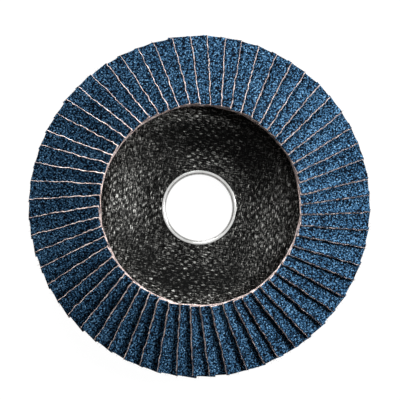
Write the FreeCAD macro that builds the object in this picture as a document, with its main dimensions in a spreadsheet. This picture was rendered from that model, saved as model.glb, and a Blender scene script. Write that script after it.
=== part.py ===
import FreeCAD, Part
import Sketcher
import math
import os

# Conical flap disc for an angle grinder: 60 shingled flaps of abrasive cloth, bonded on
# a moulded glass-fibre plate with a recessed hub and a steel arbor ring.
# It lies on the back of its hub with the abrasive side up. The origin is on the arbor
# hole's axis, in the hub's back face. +Z points out of the abrasive side.

os.makedirs("parts", exist_ok=True)
doc = FreeCAD.newDocument("flap_disc")

# Driving dimensions, in millimetres and degrees
dimensions = [
    ("outer_radius", 57.5, "the disc's reach, at the free corners of its flaps"),
    ("bore_radius", 11.115, "wall of the 22.23 mm arbor hole"),
    ("plate_thickness", 3.0, "moulded glass-fibre plate, the same all over"),
    ("hub_radius", 19.4, "flat hub face, where the clamping nut sits"),
    ("slope_run", 10.3, "width of the slope that rises from the hub"),
    ("crest_land", 1.9, "width of the flat crest at the top of the slope"),
    ("dish_depth", 4.5, "how far the hub's face lies below the crest"),
    ("rim_angle", 10.0, "how far the flap seat falls away outwards"),
    ("bend_round", 3.5, "bends at the foot and the top of the slope, on both faces"),
    ("ring_wall", 0.7, "sheet of the arbor ring's barrel"),
    ("ring_fit", 0.03, "radial clearance of the ring in the plate"),
    ("flange_reach", 0.685, "front flange of the ring, out from its barrel"),
    ("back_flange_reach", 1.585, "back flange of the ring, out from its barrel"),
    ("flange_thickness", 0.6, "both flanges of the ring"),
    ("flare", 0.7, "flared mouth of the ring, at both ends"),
    ("flap_count", 60, "flaps round the disc, laid in pairs"),
    ("flap_start", 3.8, "first flap's centre line, clockwise from +Y"),
    ("flap_setback", 1.4, "from the crest to the inner cut ends of the flaps"),
    ("flap_overhang", 5.0, "how far the flaps reach past the plate's edge"),
    ("flap_width", 14.0, "a flap, from its buried edge to its free edge"),
    ("flap_thickness", 1.05, "cloth, bond and grain together"),
    ("free_offset", 4.88, "free top edge, clockwise of the flap's centre line"),
    ("lay_clearance", 0.1, "between neighbouring flaps where they press closest"),
    ("rim_gap", 0.4, "between neighbouring flaps at their outer ends"),
    ("glue_under", 0.4, "glue between the plate and a flap's buried edge"),
    ("glue_depth", 1.2, "glue bed, above the plate"),
    ("glue_inset", 1.9, "from the flaps' inner ends to the glue bed"),
    ("glue_margin", 0.9, "plate left bare outside the glue bed"),
]
sizes = doc.addObject("Spreadsheet::Sheet", "sizes")
for row, (alias, value, note) in enumerate(dimensions, start=1):
    sizes.set(f"A{row}", note)
    sizes.set(f"B{row}", str(value))
    sizes.setAlias(f"B{row}", alias)
doc.recompute()


def size(expression):
    """The number that an expression on the sizes gives now."""
    return FreeCAD.Units.Quantity(sizes.evalExpression(expression)).Value


def new_body(label):
    """A body that holds one node's piece or pieces."""
    body = doc.addObject("PartDesign::Body", label)
    body.Label = label
    return body


def origin_part(body, role):
    """One of a body's own origin planes or axes."""
    return next(part for part in body.Origin.OriginFeatures if part.Role == role)


def corner_arc(before, corner, after, radius):
    """The tangent points and centre of an arc that rounds a corner."""
    to_before = (before - corner).normalize()
    to_after = (after - corner).normalize()
    half_angle = to_before.getAngle(to_after) / 2
    reach = radius / math.tan(half_angle)
    middle = (to_before + to_after).normalize() * (radius / math.sin(half_angle))
    return corner + to_before * reach, corner + to_after * reach, corner + middle


def outline(body, name, corners):
    """A closed outline in the body's XZ plane, with lines and tangent arcs.

    Each corner has expressions for its X and its Z, and may have one for its radius.
    """
    sketch = body.newObject("Sketcher::SketchObject", name)
    sketch.AttachmentSupport = [(origin_part(body, "XZ_Plane"), "")]
    sketch.MapMode = "FlatFace"
    places = [FreeCAD.Vector(size(corner[0]), size(corner[1]), 0) for corner in corners]
    count = len(places)
    starts = list(places)
    ends = list(places)
    arcs = {}
    for index, corner in enumerate(corners):
        if len(corner) < 3:
            continue
        before, after = places[index - 1], places[(index + 1) % count]
        radius = size(corner[2])
        ends[index], starts[index], centre = corner_arc(before, places[index], after, radius)
        arcs[index] = (centre, radius)
    for index in range(count):
        sketch.addGeometry(Part.LineSegment(starts[index], ends[(index + 1) % count]), False)
    for index, corner in enumerate(corners):
        last_line = (index - 1) % count
        if index in arcs:
            centre, radius = arcs[index]
            angles = [math.atan2(*(end - centre)[1::-1]) for end in (ends[index], starts[index])]
            forward = (angles[1] - angles[0]) % (2 * math.pi) < math.pi
            circle = Part.Circle(centre, FreeCAD.Vector(0, 0, 1), radius)
            arc = Part.ArcOfCircle(circle, *(angles if forward else angles[::-1]))
            arc_number = sketch.addGeometry(arc, False)
            at_start, at_end = (1, 2) if forward else (2, 1)
            sketch.addConstraint(Sketcher.Constraint("Tangent", last_line, 2, arc_number, at_start))
            sketch.addConstraint(Sketcher.Constraint("Tangent", index, 1, arc_number, at_end))
            rounding = sketch.addConstraint(Sketcher.Constraint("Radius", arc_number, radius))
            sketch.setExpression(f"Constraints[{rounding}]", corner[2])
            fixed = (sketch.addGeometry(Part.Point(places[index]), True), 1)
            for line in (last_line, index):
                sketch.addConstraint(Sketcher.Constraint("PointOnObject", *fixed, line))
        else:
            sketch.addConstraint(Sketcher.Constraint("Coincident", last_line, 2, index, 1))
            fixed = (index, 1)
        for kind, expression, now in zip(("DistanceX", "DistanceY"), corner, places[index]):
            number = sketch.addConstraint(Sketcher.Constraint(kind, -1, 1, *fixed, now))
            sketch.setExpression(f"Constraints[{number}]", expression)
    return sketch


def revolved(body, name, corners):
    """A solid turned about Z from an outline."""
    turned = body.newObject("PartDesign::Revolution", name)
    turned.Profile = outline(body, f"{name}_outline", corners)
    turned.ReferenceAxis = (turned.Profile[0], ["V_Axis"])
    turned.Angle = 360
    return turned


# Radii, heights and angles that several pieces share
slope_radius = "(sizes.hub_radius + sizes.slope_run)"
crest_radius = f"({slope_radius} + sizes.crest_land)"
crest_height = "(sizes.plate_thickness + sizes.dish_depth)"
slope_angle = "atan(sizes.dish_depth / sizes.slope_run)"
plate_radius = "(sizes.outer_radius - sizes.flap_overhang)"
flap_inner = f"({crest_radius} + sizes.flap_setback)"
plate_hole = "(sizes.bore_radius + sizes.ring_wall + sizes.ring_fit)"


def seat_height(radius):
    """Height of the plate's conical flap seat at a radius."""
    return f"({crest_height} - tan(sizes.rim_angle) * ({radius} - {crest_radius}))"


# Backing plate: one moulding of even thickness. The hub is recessed, the crest stands
# highest and the rim under the flaps falls away outwards. The ring's flanges are sunk
# in shallow counterbores, one in each face of the hub.
backing_plate = new_body("backing_plate")
barrel_radius = "(sizes.bore_radius + sizes.ring_wall)"
flange_radius = f"({barrel_radius} + sizes.flange_reach)"
back_flange_radius = f"({barrel_radius} + sizes.back_flange_reach)"
front_sink = f"{flange_radius} + sizes.ring_fit"
back_sink = f"{back_flange_radius} + sizes.ring_fit"
front_web = "sizes.plate_thickness - sizes.flange_thickness"
slope_offset = f"sizes.plate_thickness * tan({slope_angle} / 2)"
rim_offset = "sizes.plate_thickness * tan(sizes.rim_angle / 2)"
rim_front = seat_height(plate_radius)
rim_back = f"{rim_front} - sizes.plate_thickness / cos(sizes.rim_angle)"
plate_corners = [
    (plate_hole, "sizes.flange_thickness"),
    (back_sink, "sizes.flange_thickness"),
    (back_sink, "0"),
    (f"sizes.hub_radius + {slope_offset}", "0", "sizes.bend_round"),
    (f"{slope_radius} + {slope_offset}", "sizes.dish_depth"),
    (f"{crest_radius} - {rim_offset}", "sizes.dish_depth"),
    (plate_radius, rim_back),
    (plate_radius, rim_front),
    (crest_radius, crest_height),
    (slope_radius, crest_height, "sizes.bend_round"),
    ("sizes.hub_radius", "sizes.plate_thickness", "sizes.bend_round"),
    (front_sink, "sizes.plate_thickness"),
    (front_sink, front_web),
    (plate_hole, front_web),
]
revolved(backing_plate, "moulding", plate_corners)

# Arbor ring: a steel eyelet through the hub. Its barrel is flared and its flanges lie
# flush with the hub's face and its back.
arbor_ring = new_body("arbor_ring")
mouth_radius = "sizes.bore_radius + sizes.flare"
ring_corners = [
    ("sizes.bore_radius", "sizes.flare"),
    (mouth_radius, "0"),
    (back_flange_radius, "0"),
    (back_flange_radius, "sizes.flange_thickness"),
    (barrel_radius, "sizes.flange_thickness"),
    (barrel_radius, front_web),
    (flange_radius, front_web),
    (flange_radius, "sizes.plate_thickness"),
    (mouth_radius, "sizes.plate_thickness"),
    ("sizes.bore_radius", "sizes.plate_thickness - sizes.flare"),
]
revolved(arbor_ring, "eyelet", ring_corners)

# Flaps: each is a flat strip of cloth, laid on its clockwise neighbour so that only its
# free edge shows, with its other edge buried in the glue. The pack is steepest at the
# inner ends, where the flaps crowd. Each flap turns flatter towards its outer end, with
# a fold from its free inner corner to its buried outer corner.
pitch = 360 / size("sizes.flap_count")
pitch_turn = math.radians(pitch)
width = size("sizes.flap_width")
thickness = size("sizes.flap_thickness")
free_offset = size("sizes.free_offset")
inner_distance = size(flap_inner)
inner_step = inner_distance * pitch_turn
outer_step = size("sizes.outer_radius") * pitch_turn
# the conical seat leans the buried corners of neighbouring flaps towards each other
cone_lean = size("tan(sizes.rim_angle)") * pitch_turn * (width - free_offset - inner_step)
inner_sine = (thickness + size("sizes.lay_clearance") + cone_lean) / inner_step
outer_sine = (thickness + size("sizes.rim_gap")) / outer_step
# the lower corner of the free edge reaches furthest out
free_reach = free_offset + thickness * outer_sine
outer_distance = math.sqrt(size("sizes.outer_radius") ** 2 - free_reach**2)


def flap_end(distance, sine):
    """The corners of a flap's end: its back from buried to free edge, then its grain."""
    cosine = math.sqrt(1 - sine**2)
    to_free_edge = FreeCAD.Vector(cosine, 0, sine) * width
    to_grain = FreeCAD.Vector(-sine, 0, cosine) * thickness
    buried_across = free_offset - to_free_edge.x - to_grain.x
    seat = size(seat_height(math.hypot(distance, buried_across)))
    buried = FreeCAD.Vector(buried_across, distance, seat + size("sizes.glue_under"))
    free = buried + to_free_edge
    return [buried, free, free + to_grain, buried + to_grain]


def flat_face(*corners):
    return Part.Face(Part.makePolygon([*corners, corners[0]]))


inner_end = flap_end(inner_distance, inner_sine)
outer_end = flap_end(outer_distance, outer_sine)
flap_faces = [flat_face(*inner_end), flat_face(*outer_end)]
for side in range(4):
    near = inner_end[side], inner_end[(side + 1) % 4]
    far = outer_end[side], outer_end[(side + 1) % 4]
    # the back's fold and the grain's fold run between the same two corners
    if side == 0:
        flap_faces += [flat_face(near[0], near[1], far[0]), flat_face(near[1], far[1], far[0])]
    else:
        flap_faces += [flat_face(near[0], near[1], far[1]), flat_face(near[0], far[1], far[0])]
flap = Part.Solid(Part.Shell(flap_faces))
neighbour = flap.rotated(FreeCAD.Vector(), FreeCAD.Vector(0, 0, 1), -pitch)

flap_pairs = []
for pair in range(int(size("sizes.flap_count")) // 2):
    flap_pair = doc.addObject("Part::Feature", f"flap_pair_{pair + 1:02d}")
    flap_pair.Label = flap_pair.Name
    flap_pair.Shape = Part.makeCompound([flap, neighbour])
    turn = size("sizes.flap_start") + 2 * pair * pitch
    flap_pair.Placement.Rotation = FreeCAD.Rotation(FreeCAD.Vector(0, 0, 1), -turn)
    flap_pairs.append(flap_pair)

# Glue bed: a ring of resin on the plate's rim, with one facet for each flap. The flaps'
# buried edges are set in it, so it is cut to their form.
glue_depth = size("sizes.glue_depth")
glue_edges = [(radius, size(seat_height(radius))) for radius in map(size, (
    f"({flap_inner} + sizes.glue_inset)", f"({plate_radius} - sizes.glue_margin)"))]
(glue_inner, inner_seat), (glue_outer, outer_seat) = glue_edges
glue_section = [
    (glue_inner, inner_seat),
    (glue_outer, outer_seat),
    (glue_outer, outer_seat + glue_depth),
    (glue_inner, inner_seat + glue_depth),
]


def glue_corners(turn):
    """The glue's section at a facet's edge; the facets touch the seat in their middles."""
    angle = math.radians(turn)
    stretch = 1 / math.cos(pitch_turn / 2)
    across, along = math.sin(angle) * stretch, math.cos(angle) * stretch
    return [FreeCAD.Vector(r * across, r * along, height) for r, height in glue_section]


glue_faces = []
for facet in range(int(size("sizes.flap_count"))):
    near, far = glue_corners(facet * pitch), glue_corners((facet + 1) * pitch)
    for side in range(4):
        after = (side + 1) % 4
        glue_faces.append(flat_face(near[side], near[after], far[after], far[side]))
glue_ring = doc.addObject("Part::Feature", "glue_ring")
glue_ring.Shape = Part.Solid(Part.Shell(glue_faces))
flap_pack = doc.addObject("Part::Compound", "flap_pack")
flap_pack.Links = flap_pairs
glue_bed = doc.addObject("Part::Cut", "glue_bed")
glue_bed.Base = glue_ring
glue_bed.Tool = flap_pack
doc.recompute()

# Every feature has to be sound, and every node whole, before any file is written
nodes = {backing_plate: 1, arbor_ring: 1, glue_bed: 1}
nodes.update({flap_pair: 2 for flap_pair in flap_pairs})
for feature in doc.Objects:
    if "Invalid" in feature.State or "Error" in feature.State:
        raise RuntimeError(f"{feature.Label} did not build: {feature.State}")
for node, solids in nodes.items():
    if node.Shape.isNull() or not node.Shape.isValid():
        raise RuntimeError(f"{node.Label} has no sound shape")
    if len(node.Shape.Solids) != solids:
        raise RuntimeError(f"{node.Label} has {len(node.Shape.Solids)} solids, not {solids}")

for node in nodes:
    node.Shape.exportStep(f"parts/{node.Label}.step")
    print(f"{node.Label}: {node.Shape.Volume:.1f} cubic mm")
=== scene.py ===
"""The looks of a 115 mm flap disc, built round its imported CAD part.

X is to the photograph's right, Y to its top and Z up, out of the abrasive side. The axis
of the arbor hole is the Z axis and the hub's back lies at Z = 0. Clockwise means as seen
from above. Lengths are in metres.
"""

import math

import bpy
import numpy as np
from mathutils import Matrix, Vector


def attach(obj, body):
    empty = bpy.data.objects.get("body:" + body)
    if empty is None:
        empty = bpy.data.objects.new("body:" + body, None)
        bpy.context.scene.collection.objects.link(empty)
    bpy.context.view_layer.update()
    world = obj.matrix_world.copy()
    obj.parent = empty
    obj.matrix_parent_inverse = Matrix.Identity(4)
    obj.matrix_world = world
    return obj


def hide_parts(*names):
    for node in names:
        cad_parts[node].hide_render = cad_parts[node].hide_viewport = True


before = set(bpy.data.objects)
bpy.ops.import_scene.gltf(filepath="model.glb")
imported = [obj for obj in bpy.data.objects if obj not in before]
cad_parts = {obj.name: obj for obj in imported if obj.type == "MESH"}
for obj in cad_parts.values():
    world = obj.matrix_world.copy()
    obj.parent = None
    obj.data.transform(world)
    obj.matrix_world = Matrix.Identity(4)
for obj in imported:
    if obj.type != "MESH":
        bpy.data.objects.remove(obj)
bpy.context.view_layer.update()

# Backing plate
# One moulding of glass-fibre cloth in black resin, hot-pressed to a dish. Its hub is
# clamped on the grinder and its falling rim carries the glue and the flaps.
mm = 0.001
plate_thickness = 3.0 * mm
hub_radius = 19.4 * mm
slope_top_radius = 29.7 * mm
crest_radius = 31.6 * mm
crest_height = 7.5 * mm
rim_angle = math.radians(10.0)
rim_fall = math.tan(rim_angle)
plate_radius = 52.5 * mm
ring_hole_radius = 11.845 * mm
front_sink_radius = 12.53 * mm
back_sink_radius = 13.43 * mm
flange_thickness = 0.6 * mm
bend_round = 3.5 * mm
edge_round = 0.5 * mm
bend_facet = math.radians(6)
sharp_bend = math.radians(35)
plate_facets = 256


def seat_height(radius):
    """The height of the plate's rim, where the flaps are glued."""
    return crest_height - (radius - crest_radius) * rim_fall


def rounded(corners):
    """The points of a closed outline; each corner is (radius, height, rounding)."""
    points = []
    for index, (r, z, rounding) in enumerate(corners):
        corner = np.array((r, z))
        if not rounding:
            points.append(corner)
            continue
        before = np.array(corners[index - 1][:2]) - corner
        after = np.array(corners[(index + 1) % len(corners)][:2]) - corner
        before /= np.linalg.norm(before)
        after /= np.linalg.norm(after)
        half_angle = math.acos(np.clip(before @ after, -1, 1)) / 2
        reach = rounding / math.tan(half_angle)
        middle = corner + (before + after) / (2 * math.cos(half_angle) ** 2) * reach
        start = corner + before * reach - middle
        end = corner + after * reach - middle
        sweep = math.pi - 2 * half_angle
        steps = max(3, math.ceil(sweep / bend_facet))
        for step in range(steps + 1):
            share = step / steps
            weights = math.sin((1 - share) * sweep), math.sin(share * sweep)
            points.append(middle + (start * weights[0] + end * weights[1]) / math.sin(sweep))
    return points


def turned(name, corners, around, finish):
    """A solid turned about Z, as a mesh of its own that rides on the disc."""
    outline = np.array(rounded(corners))
    turns = np.arange(around) * math.tau / around
    r, z = outline[:, 0], outline[:, 1]
    places = np.stack([
        np.outer(np.cos(turns), r), np.outer(np.sin(turns), r), np.tile(z, (around, 1))
    ], axis=-1).reshape(-1, 3)
    ring, point = np.meshgrid(np.arange(around), np.arange(len(r)), indexing="ij")
    next_ring, next_point = (ring + 1) % around, (point + 1) % len(r)
    quads = np.stack([
        ring * len(r) + point, ring * len(r) + next_point,
        next_ring * len(r) + next_point, next_ring * len(r) + point,
    ], axis=-1).reshape(-1, 4)
    mesh = bpy.data.meshes.new(name)
    mesh.from_pydata(places.tolist(), [], quads[:, ::-1].tolist())
    mesh.shade_smooth()
    mesh.set_sharp_from_angle(angle=sharp_bend)
    mesh.materials.append(finish)
    piece = bpy.data.objects.new(name, mesh)
    bpy.context.scene.collection.objects.link(piece)
    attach(piece, "root")
    return piece


def paint(red, green, blue):
    """A colour as a shader takes it, from the 0 to 255 values that it shows as."""
    linear = [(c / 255 / 12.92 if c <= 10 else ((c / 255 + 0.055) / 1.055) ** 2.4)
              for c in (red, green, blue)]
    return (*linear, 1.0)


class Wire:
    """A shader node's output. Arithmetic on it adds Math nodes to its tree."""

    def __init__(self, tree, socket=None):
        self.tree = tree
        self.socket = socket

    def node(self, kind, settings, inputs, output=0):
        """Adds a node, with its settings first and then its sockets."""
        made = self.tree.nodes.new(kind)
        for name, value in settings.items():
            if name == "stops":
                for number, (place, colour) in enumerate(value):
                    ramp = made.color_ramp.elements
                    stop = ramp[number] if number < 2 else ramp.new(place)
                    stop.position = place
                    stop.color = colour
            else:
                setattr(made, name, value)
        for name, value in inputs.items():
            if isinstance(value, Wire):
                self.tree.links.new(value.socket, made.inputs[name])
            else:
                made.inputs[name].default_value = value
        return Wire(self.tree, made.outputs[output]) if made.outputs else None

    def maths(self, operation, *values):
        inputs = dict(enumerate((self, *values)))
        return self.node("ShaderNodeMath", {"operation": operation}, inputs)

    def __add__(self, other):
        return self.maths("ADD", other)

    def __radd__(self, other):
        return self.maths("ADD", other)

    def __sub__(self, other):
        return self.maths("SUBTRACT", other)

    def __rsub__(self, other):
        return (self * -1) + other

    def __mul__(self, other):
        return self.maths("MULTIPLY", other)

    def __rmul__(self, other):
        return self.maths("MULTIPLY", other)

    def rising(self, low, high):
        """0 where this value is low and 1 where it is high, and held there beyond them."""
        factor = 1 / (high - low)
        return self.node("ShaderNodeMath", {"operation": "MULTIPLY_ADD", "use_clamp": True},
                         {0: self, 1: factor, 2: -low * factor})

    def noise(self, scale, detail, roughness=0.5, output=0):
        """Random lumps over this place, about that many to one of its units."""
        return self.node("ShaderNodeTexNoise", {}, {
            "Vector": self, "Scale": scale, "Detail": detail, "Roughness": roughness}, output)

    def ramp(self, *stops):
        """A colour that changes with this value, from (place, colour) stops."""
        return self.node("ShaderNodeValToRGB", {"stops": stops}, {"Fac": self})

    def blend(self, first, second):
        """Two colours mixed by this value."""
        return self.node("ShaderNodeMix", {"data_type": "RGBA"}, {0: self, 6: first, 7: second}, 2)


def emptied(owner):
    """A wire to start from, in the emptied node tree of a material or a world."""
    owner.use_nodes = True
    owner.node_tree.nodes.clear()
    return Wire(owner.node_tree)


def new_finish(name):
    """A material without nodes, and the place of each point of its piece."""
    finish = bpy.data.materials.new(name)
    return finish, emptied(finish).node("ShaderNodeTexCoord", {}, {}, "Object")


def surface(place, looks, relief, depth):
    """Ends a material in one shader, with a relief of that depth."""
    looks["Normal"] = place.node(
        "ShaderNodeBump", {}, {"Strength": 1.0, "Distance": depth, "Height": relief})
    shader = place.node("ShaderNodeBsdfPrincipled", {}, looks)
    place.node("ShaderNodeOutputMaterial", {}, {"Surface": shader})


# the cloth: yarns that cross at right angles, each of fibres far longer than wide
yarn_pitch = 1.35 * mm
yarn_wobble = (0.7 * mm, 0.7 * mm, 0)
cloth_turn = math.radians(-10.0)
across_fibres, along_fibres, through_fibres = 3600.0, 640.0, 900.0
weave_relief = 0.25 * mm

# where the painted highlight and shade of the slope and the crest lie on the cloth, in millimetres
# from the axis
slope_middle = 24.8
slope_fade = (6.4, 2.4)
crest_fade = (28.0, 30.0)

# how much each thing adds to the fibres' tone; the shine, slope and crest parts are painted
# highlight and shade
painted_shine_gain, crown_gain, flooding_gain = 0.035, 0.03, 0.06
slope_painted_highlight, slope_painted_shade, crest_painted_highlight = 0.09, 0.055, 0.020

weave, place = new_finish("black_glass_cloth")
turned_place = place.node("ShaderNodeMapping", {}, {
    "Vector": place, "Rotation": (0, 0, -cloth_turn)})
wobbly = place.node("ShaderNodeVectorMath", {"operation": "MULTIPLY_ADD"}, {
    0: turned_place.noise(260.0, 1.0, output="Color"), 1: yarn_wobble, 2: turned_place})
axes = [wobbly.node("ShaderNodeSeparateXYZ", {}, {"Vector": wobbly}, n) for n in (0, 1)]
waves = [(axis * (math.pi / yarn_pitch)).maths("SINE") for axis in axes]
checks = waves[0] * waves[1]
warp_up = checks.rising(-1 / 6, 1 / 6)
crown = checks.maths("ABSOLUTE").maths("POWER", 0.5)
fibres = []
for stretch in ((across_fibres, along_fibres, through_fibres),
                (along_fibres, across_fibres, through_fibres)):
    drawn_out = place.node("ShaderNodeVectorMath", {"operation": "MULTIPLY"}, {
        0: wobbly, 1: stretch})
    fibres.append(drawn_out.noise(1.0, 3.0, 0.7))

# painted highlight: the yarns that run round the dish are painted lighter, so each kind shines on
# two sides
sideways = (axes[0] * (1 / mm)).maths("POWER", 2.0)
lengthwise = (axes[1] * (1 / mm)).maths("POWER", 2.0)
from_axis = (sideways + lengthwise).maths("POWER", 0.5)
beside_hub = sideways.maths("DIVIDE", sideways + lengthwise + 0.001)
runs_along = beside_hub * 0.6 + warp_up * 0.4
fibre = runs_along * fibres[0] + (1 - runs_along) * fibres[1]
painted_shine_by_side = warp_up * beside_hub + (1 - warp_up) * (1 - beside_hub)
flooding = place.noise(130.0, 2.0)
fibre_tone_and_painted_glint = fibre + painted_shine_by_side * painted_shine_gain + crown * crown_gain + flooding * flooding_gain

# painted highlight and shade on the slope: lighter towards +X and -X, darker towards +Y and -Y; a
# painted highlight on the crest
on_slope = (from_axis - slope_middle).maths("ABSOLUTE").rising(*slope_fade)
on_crest = from_axis.rising(*crest_fade)
fibre_tone_and_painted_glint = fibre_tone_and_painted_glint + on_slope * (beside_hub * slope_painted_highlight - slope_painted_shade) + on_crest * crest_painted_highlight
# the fibres' grey is partly the glass's own tone and partly painted glint
weave_colour_and_painted_glint = fibre_tone_and_painted_glint.ramp(
    (0.537, paint(1, 1, 1)), (0.596, paint(30, 30, 29)), (0.66, paint(80, 80, 78)),
    (0.75, paint(196, 196, 192)))
surface(place, {
    "Base Color": weave_colour_and_painted_glint,
    "Roughness": fibre_tone_and_painted_glint.maths("MULTIPLY_ADD", -0.35, 0.78),
    "Specular IOR Level": 0.03,
}, crown * 0.25 + fibre * 0.75, weave_relief)

slope_angle = math.atan2(crest_height - plate_thickness, slope_top_radius - hub_radius)
slope_offset = plate_thickness * math.tan(slope_angle / 2)
rim_offset = plate_thickness * math.tan(rim_angle / 2)
rim_under = seat_height(plate_radius) - plate_thickness / math.cos(rim_angle)
backing_plate = turned("backing_plate_moulding", [
    (ring_hole_radius, flange_thickness, 0),
    (back_sink_radius, flange_thickness, 0),
    (back_sink_radius, 0, 0),
    (hub_radius + slope_offset, 0, bend_round),
    (slope_top_radius + slope_offset, crest_height - plate_thickness, bend_round),
    (crest_radius - rim_offset, crest_height - plate_thickness, 0),
    (plate_radius, rim_under, edge_round),
    (plate_radius, seat_height(plate_radius), edge_round),
    (crest_radius, crest_height, 0),
    (slope_top_radius, crest_height, bend_round),
    (hub_radius, plate_thickness, bend_round),
    (front_sink_radius, plate_thickness, 0),
    (front_sink_radius, plate_thickness - flange_thickness, 0),
    (ring_hole_radius, plate_thickness - flange_thickness, 0),
], plate_facets, weave)
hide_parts("backing_plate")

# Arbor ring
# A pressed steel eyelet that lines the arbor hole. Its rims are rolled over flush with
# the hub's face and back, and both mouths are flared.
bore_radius = 11.115 * mm
barrel_radius = 11.815 * mm
flange_radius = 12.5 * mm
back_flange_radius = 13.4 * mm
flare = 0.7 * mm
throat_round = 0.6 * mm
mouth_round = 0.25 * mm
flange_round = 0.12 * mm
ring_facets = 192

# painted shade: a dark line on the flare at the front, at this reach from the middle of the hub's
# back
shade_line_reach = 11.85 * mm
shade_line_half_width = 0.4 * mm
shade_line_strength = 0.75
steel_relief = 0.003 * mm

steel, place = new_finish("satin_steel")
drawn_marks = place.noise(900.0, 4.0)
handling = place.noise(160.0, 2.0)
steel_colour = handling.ramp((0.3, paint(186, 186, 184)), (0.7, paint(212, 212, 211)))
reach = place.node("ShaderNodeVectorMath", {"operation": "LENGTH"}, {0: place}, "Value")
# painted shade: a thin dark ring blended into the steel's colour
on_painted_shade_line = (reach - shade_line_reach).maths("ABSOLUTE").rising(shade_line_half_width, 0)
surface(place, {
    "Base Color": (on_painted_shade_line * shade_line_strength).blend(steel_colour, paint(92, 92, 90)),
    "Metallic": 0.9,
    "Roughness": drawn_marks.maths("MULTIPLY_ADD", 0.2, 0.2),
}, drawn_marks, steel_relief)

mouth_radius = bore_radius + flare
arbor_ring = turned("arbor_ring_eyelet", [
    (bore_radius, flare, throat_round),
    (mouth_radius, 0, mouth_round),
    (back_flange_radius, 0, flange_round),
    (back_flange_radius, flange_thickness, 0),
    (barrel_radius, flange_thickness, 0),
    (barrel_radius, plate_thickness - flange_thickness, 0),
    (flange_radius, plate_thickness - flange_thickness, 0),
    (flange_radius, plate_thickness, flange_round),
    (mouth_radius, plate_thickness, mouth_round),
    (bore_radius, plate_thickness - flare, throat_round),
], ring_facets, steel)
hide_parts("arbor_ring")

# Glue bed
# Cured resin on the plate's rim, poured as a ring. The buried edges of the flaps stand
# in it. It is all but hidden, so the part's own solid is shown.
resin_relief = 0.1 * mm

resin, place = new_finish("cured_resin")
clouding = place.noise(300.0, 3.0)
surface(place, {
    "Base Color": clouding.ramp((0.3, paint(52, 32, 18)), (0.7, paint(96, 62, 34))),
    "Roughness": clouding.maths("MULTIPLY_ADD", 0.3, 0.2),
}, clouding, resin_relief)
glue_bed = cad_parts["glue_bed"]
glue_bed.data.materials.clear()
glue_bed.data.materials.append(resin)

# Flaps
# Sixty strips of abrasive cloth: blue zirconia grain in resin on a tan polyester-cotton
# backing. Each lies on its clockwise neighbour and stands in the glue by its other edge.
flap_count = 60
pitch = math.tau / flap_count
first_flap = math.radians(3.8)
outer_radius = 57.5 * mm
inner_distance = 33.0 * mm
flap_width = 14.0 * mm
flap_thickness = 1.05 * mm
free_offset = 4.88 * mm
lay_clearance = 0.1 * mm
rim_gap = 0.4 * mm
glue_under = 0.4 * mm

inner_step = inner_distance * pitch
cone_lean = rim_fall * pitch * (flap_width - free_offset - inner_step)
inner_sine = (flap_thickness + lay_clearance + cone_lean) / inner_step
outer_sine = (flap_thickness + rim_gap) / (outer_radius * pitch)
outer_distance = math.sqrt(outer_radius**2 - (free_offset + flap_thickness * outer_sine) ** 2)
flap_length = outer_distance - inner_distance


def flap_end(distance, sine):
    """A flap's end: the buried and free corners of its back, then those of its grain."""
    cosine = math.sqrt(1 - sine**2)
    to_free_edge = np.array((cosine, 0, sine)) * flap_width
    to_grain = np.array((-sine, 0, cosine)) * flap_thickness
    across = free_offset - to_free_edge[0] - to_grain[0]
    height = seat_height(math.hypot(distance, across)) + glue_under
    buried = np.array((across, distance, height))
    return np.array([[buried, buried + to_free_edge],
                     [buried + to_grain, buried + to_free_edge + to_grain]])


ends = np.array([flap_end(inner_distance, inner_sine), flap_end(outer_distance, outer_sine)])

# the skin's mesh: distances from the free edge, first over the grain, then down the cut
# edge and back over the cloth, with how deep each lies from the grain (0) to the back (1)
fine_step = 0.26 * mm
shown_strip = 7.3 * mm
worn_edge = 0.13 * mm
over_grain = np.concatenate([
    (flap_width, 12.0 * mm, 9.6 * mm),
    np.arange(shown_strip, worn_edge, -fine_step), (worn_edge, 0.0),
])
down_edge = np.array((0.3, 0.65))
over_back = np.array((0.0, 0.4 * mm, 1.0 * mm, 3.0 * mm, 8.0 * mm, flap_width))
bond = down_edge[0]
from_edge = np.concatenate([over_grain, np.zeros(len(down_edge)), over_back, (flap_width,)])
depth = np.concatenate([
    np.zeros(len(over_grain)), down_edge, np.ones(len(over_back)), (bond,)])
along = np.concatenate([
    np.array((0.0, 0.12, 0.28, 0.5, 0.75)) * mm,
    np.arange(1.0 * mm, flap_length - 0.3 * mm, fine_step),
    (flap_length - 0.12 * mm, flap_length),
])

# the faults of the flaps; a pair is the spacing and the height of random bumps
long_waves = (2.6 * mm, 0.36 * mm)
short_waves = (0.8 * mm, 0.28 * mm)
frays = (0.9 * mm, 0.14 * mm)
wave_reach = 0.8 * mm
coarse_grain = (0.85 * mm, 0.11 * mm)
fine_grain = (0.5 * mm, 0.07 * mm)
sags = (6.0 * mm, 0.10 * mm)
uneven_ends = (0.7 * mm, 0.14 * mm)
longest_outer_end = 0.40 * mm
shortest_inner_end = 0.55 * mm
end_round = 0.5 * mm
end_drop = 0.3 * mm
cloth_keeps = 0.3
turn_fault = math.radians(0.4)
run_out = np.array((0.21, 0.45, 0)) * mm
flap_seed = 1150

# the loose threads at an end: the end's row of points, which way they stick out, how many
outer_threads = (-1, 1.0, 7)
inner_threads = (0, -0.7, 3)
thread_lengths = (0.35 * mm, 0.95 * mm)
thread_radius = 0.06 * mm
thread_taper = 0.6
thread_slant = 0.4
thread_rise = 0.1
thread_roots = (0.1 * mm, 0.7 * mm)
root_inset = 0.1 * mm
thread_bend = 0.35
thread_sides = 3
thread_steps = 4


def between(first, second, share):
    """The value at that share of the way from the first to the second."""
    return first * (1 - share) + second * share


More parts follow.
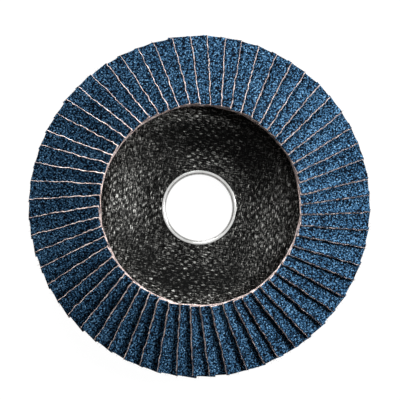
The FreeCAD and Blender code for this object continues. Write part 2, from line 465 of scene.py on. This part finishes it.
def bumps(random, spacing_and_height, *places):
    """Smooth random heights over the given places, in lumps of that spacing."""
    spacing, height = spacing_and_height
    steps = [place / spacing for place in places]
    cells = [np.floor(step).astype(int) for step in steps]
    shares = [(step - cell) ** 2 * (3 - 2 * (step - cell)) for step, cell in zip(steps, cells)]
    lattice = random.random([int(cell.max()) + 2 for cell in cells])
    if len(places) == 1:
        return between(lattice[cells[0]], lattice[cells[0] + 1], shares[0]) * height
    (a, b), (p, q) = cells, shares
    near = between(lattice[a, b], lattice[a + 1, b], p)
    far = between(lattice[a, b + 1], lattice[a + 1, b + 1], p)
    return between(near, far, q) * height


def thread(random, start, direction):
    """The points and faces of a loose thread that sticks out of a cut end."""
    length = random.uniform(*thread_lengths)
    bend = random.normal(0, thread_bend, 3)
    points, faces = [], []
    for step in range(thread_steps + 1):
        share = step / thread_steps
        middle = start + (direction * share + bend * share**2) * length
        first = step * thread_sides
        for side in range(thread_sides):
            angle = math.tau * side / thread_sides
            girth = thread_radius * (1 - thread_taper * share)
            points.append(middle + np.array((math.cos(angle), 0, math.sin(angle))) * girth)
            if step < thread_steps:
                a, b = first + side, first + (side + 1) % thread_sides
                faces.append([a, b, b + thread_sides, a + thread_sides])
    faces.append(list(range(thread_sides))[::-1])
    faces.append([thread_steps * thread_sides + side for side in range(thread_sides)])
    return points, faces


def flap_points(number):
    """The points of one flap's skin and its threads, and the faces of the threads."""
    random = np.random.default_rng(flap_seed + number)
    length_share = (along / flap_length)[:, None]
    wave = bumps(random, long_waves, along) + bumps(random, short_waves, along)
    fray = bumps(random, frays, along)
    inwards = (wave[:, None] + fray[:, None] * depth) * np.exp(-from_edge / wave_reach)
    edge_share = (1 - (from_edge + inwards) / flap_width)[..., None]
    back, front = [
        between(between(*ends[0, layer], edge_share), between(*ends[1, layer], edge_share),
                length_share[..., None])
        for layer in (0, 1)]
    points = between(front, back, depth[None, :, None])
    across, lengthwise = np.meshgrid(from_edge, along)
    relief = bumps(random, coarse_grain, across, lengthwise)
    relief += bumps(random, fine_grain, across, lengthwise)
    sag = bumps(random, sags, along)[:, None]
    dip = end_drop * np.clip(1 - along[:, None] / end_round, 0, 1) ** 2
    points[..., 2] -= (relief + dip) * (1 - depth) + sag
    outer_end = longest_outer_end * random.random() + bumps(random, uneven_ends, from_edge)
    points[..., 1] -= length_share * outer_end[None, :]
    inner_end = shortest_inner_end * random.random() * (1 - cloth_keeps * depth)
    points[..., 1] += (1 - length_share) * inner_end
    turn = first_flap + number * pitch + random.uniform(-turn_fault, turn_fault)
    cosine, sine = math.cos(turn), math.sin(turn)
    clockwise = np.array(((cosine, -sine, 0), (sine, cosine, 0), (0, 0, 1)))
    all_points = points.reshape(-1, 3).tolist()
    thread_faces = []
    for end, outwards, count in (outer_threads, inner_threads):
        for place in random.integers(len(over_grain) // 3, len(over_grain), count):
            sunk = np.array((0, outwards * root_inset, random.uniform(*thread_roots)))
            direction = np.array((random.normal(0, thread_slant), outwards, thread_rise))
            made, faces = thread(random, points[end, place] - sunk, direction)
            thread_faces += [[len(all_points) + point for point in face] for face in faces]
            all_points += made
    return np.array(all_points) @ clockwise + run_out, thread_faces


rows, columns = len(along), len(from_edge)
row, column = np.meshgrid(np.arange(rows - 1), np.arange(columns), indexing="ij")
beside = (column + 1) % columns
skin_faces = np.stack([
    row * columns + column, row * columns + beside,
    (row + 1) * columns + beside, (row + 1) * columns + column,
], axis=-1).reshape(-1, 4)
grain_layer = [*range(len(over_grain) + 1), columns - 1]
cloth_layer = list(range(len(over_grain), columns))

# where each finish lies: grain on the face, with a line of dark resin beside the free edge,
# and bare cloth at the inner end and where the edges are worn by chance
is_grain = (column < len(over_grain) - 2) & (along[row] >= 0.28 * mm)
is_worn_edge = column == len(over_grain) - 2
is_smeared = is_grain & (column >= len(over_grain) - 4)
is_bond = column == len(over_grain) - 1
past_inner_end = along[row] >= 0.5 * mm
share_of_edge_worn = 0.45
share_of_bond_worn = 0.5
share_without_smear = 0.12
wear_seed = 5700
grain_relief = 0.31 * mm
smear_relief = 0.2 * mm
thread_relief = 0.2 * mm
sharp_fold = math.radians(50)

grain, place = new_finish("blue_zirconia_grain")
lumps = place.node("ShaderNodeTexVoronoi", {"feature": "SMOOTH_F1"}, {
    "Vector": place, "Scale": 1700.0, "Smoothness": 0.5, "Randomness": 1.0})
specks = place.noise(1900.0, 3.0, 0.6)
batches = place.noise(90.0, 2.0)
height = (1 - lumps) * 0.42 + specks * 0.95
# the colour follows the relief, near black in its hollows and pale on its tops: painted shade and
# painted highlight over the grain's own blue, which varies at random by batch
grain_colour_and_painted_shade = (height + batches * 0.12).ramp(
    (0.68, paint(3, 7, 15)), (0.78, paint(29, 57, 82)), (0.88, paint(57, 94, 125)),
    (1.0, paint(112, 149, 176)))
surface(place, {
    "Base Color": grain_colour_and_painted_shade,
    "Roughness": 0.62,
    "Specular IOR Level": 0.015,
}, height, grain_relief)

cloth, place = new_finish("tan_backing_cloth")
threads = place.noise(1800.0, 3.0, 0.7)
stains = place.noise(420.0, 2.0)
cloth_colour = (threads * 0.6 + stains * 0.4).ramp(
    (0.38, paint(52, 42, 40)), (0.50, paint(166, 147, 141)), (0.62, paint(222, 208, 203)))
surface(place, {
    "Base Color": cloth_colour,
    "Roughness": 0.85,
    "Specular IOR Level": 0.2,
}, threads, thread_relief)

smear, place = new_finish("resin_along_the_edge")
beads = place.noise(1500.0, 3.0, 0.6)
surface(place, {
    "Base Color": beads.ramp((0.42, paint(4, 6, 10)), (0.66, paint(26, 42, 60))),
    "Roughness": 0.6,
    "Specular IOR Level": 0.04,
}, beads, smear_relief)

flap_finishes = (grain, cloth, smear)
in_grain, in_cloth, in_smear = range(len(flap_finishes))

for pair in range(flap_count // 2):
    name = f"flap_pair_{pair + 1:02d}"
    skins = [flap_points(2 * pair + side) for side in (0, 1)]
    random = np.random.default_rng(wear_seed + pair)
    faces, finishes = [], []
    first = 0
    for points, thread_faces in skins:
        chance = random.random(row.shape)
        unworn = is_worn_edge & (chance > share_of_edge_worn)
        unworn |= is_bond & (chance > share_of_bond_worn)
        skin_finish = np.where(is_grain | (unworn & past_inner_end), in_grain, in_cloth)
        skin_finish[is_smeared & (chance > share_without_smear)] = in_smear
        faces += (skin_faces + first).tolist()
        finishes += skin_finish.ravel().tolist()
        for layer, finish in ((grain_layer, in_grain), (cloth_layer, in_cloth)):
            faces.append([first + place for place in layer[::-1]])
            faces.append([first + (rows - 1) * columns + place for place in layer])
            finishes += [finish, finish]
        faces += [[first + place for place in face] for face in thread_faces]
        finishes += [in_cloth] * len(thread_faces)
        first += len(points)
    mesh = bpy.data.meshes.new(name)
    mesh.from_pydata(np.concatenate([skin[0] for skin in skins]).tolist(), [], faces)
    mesh.shade_smooth()
    mesh.set_sharp_from_angle(angle=sharp_fold)
    for finish in flap_finishes:
        mesh.materials.append(finish)
    mesh.polygons.foreach_set("material_index", finishes)
    flaps = bpy.data.objects.new(f"{name}_cloth", mesh)
    bpy.context.scene.collection.objects.link(flaps)
    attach(flaps, "root")
    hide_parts(name)

# Studio
# A white table and surround, a soft box to the right, a low one beyond the far edge and a
# weak one at the near left. A long lens looks down from 2.5 degrees off the disc's axis.
photo_pixels = 400
pixel = 0.335 * mm
disc_centre_pixel = (199.4, 207.0)
camera_distance = 0.7
camera_azimuth = 207
camera_elevation = 87.5
sensor_width = 36
floor_size = 3.0
table_drop = 0.02 * mm
lamp_distance = 0.7
room_light = 0.05
surround_light = 1.04
surround_share = 0.95


def white_surround(start, lit):
    """A surround that looks white to the camera and in reflections, and keeps shadows."""
    rays = start.node("ShaderNodeLightPath", {}, {}, "Is Camera Ray")
    for ray in ("Is Glossy Ray", "Is Transmission Ray"):
        rays = rays + start.node("ShaderNodeLightPath", {}, {}, ray)
    white = start.node("ShaderNodeEmission", {}, {
        "Color": (1, 1, 1, 1), "Strength": surround_light})
    return start.node("ShaderNodeMixShader", {}, {0: rays * surround_share, 1: lit, 2: white})


def towards(azimuth, elevation):
    """A direction, from its azimuth clockwise from +Y and its elevation, in degrees."""
    azimuth, elevation = math.radians(azimuth), math.radians(elevation)
    level = math.cos(elevation)
    return Vector((math.sin(azimuth) * level, math.cos(azimuth) * level, math.sin(elevation)))


def soft_box(name, azimuth, elevation, watts, size):
    """A square lamp aimed at the disc from that azimuth and elevation."""
    direction = towards(azimuth, elevation)
    lamp = bpy.data.lights.new(name, "AREA")
    lamp.energy = watts
    lamp.size = size
    box = bpy.data.objects.new(name, lamp)
    bpy.context.scene.collection.objects.link(box)
    box.location = direction * lamp_distance
    box.rotation_mode = "QUATERNION"
    box.rotation_quaternion = (-direction).to_track_quat("-Z", "Y")


table_finish = bpy.data.materials.new("white_table")
start = emptied(table_finish)
table_shader = white_surround(start, start.node("ShaderNodeBsdfDiffuse", {}, {
    "Color": paint(246, 246, 246)}))
start.node("ShaderNodeOutputMaterial", {}, {"Surface": table_shader})
half = floor_size / 2
floor_corners = [(x, y, -table_drop) for x, y in (
    (-half, -half), (half, -half), (half, half), (-half, half))]
floor_mesh = bpy.data.meshes.new("table")
floor_mesh.from_pydata(floor_corners, [], [(0, 1, 2, 3)])
floor_mesh.materials.append(table_finish)
table = bpy.data.objects.new("table", floor_mesh)
bpy.context.scene.collection.objects.link(table)

world = bpy.data.worlds.new("studio")
bpy.context.scene.world = world
start = emptied(world)
room = white_surround(start, start.node("ShaderNodeBackground", {}, {
    "Color": (1, 1, 1, 1), "Strength": room_light}))
start.node("ShaderNodeOutputWorld", {}, {"Surface": room})

soft_box("right_soft_box", 78, 28, 11.0, 0.22)
soft_box("far_soft_box", 348, 18, 12.6, 0.4)
soft_box("near_soft_box", 228, 8, 0.45, 0.2)

camera_data = bpy.data.cameras.new("camera")
camera_data.sensor_width = sensor_width
camera_data.lens = sensor_width * camera_distance / (photo_pixels * pixel)
camera = bpy.data.objects.new("camera", camera_data)
bpy.context.scene.collection.objects.link(camera)
away = towards(camera_azimuth, camera_elevation)
to_right = Vector((0, 1, 0)).cross(away).normalized()
view_centre = Vector((
    (photo_pixels / 2 - disc_centre_pixel[0]) * pixel,
    (disc_centre_pixel[1] - photo_pixels / 2) * pixel, crest_height))
camera.location = view_centre + away * camera_distance
camera.rotation_mode = "QUATERNION"
camera_axes = Matrix((to_right, away.cross(to_right), away)).transposed()
camera.rotation_quaternion = camera_axes.to_quaternion()
bpy.context.scene.camera = camera
bpy.context.scene.view_settings.view_transform = "Standard"
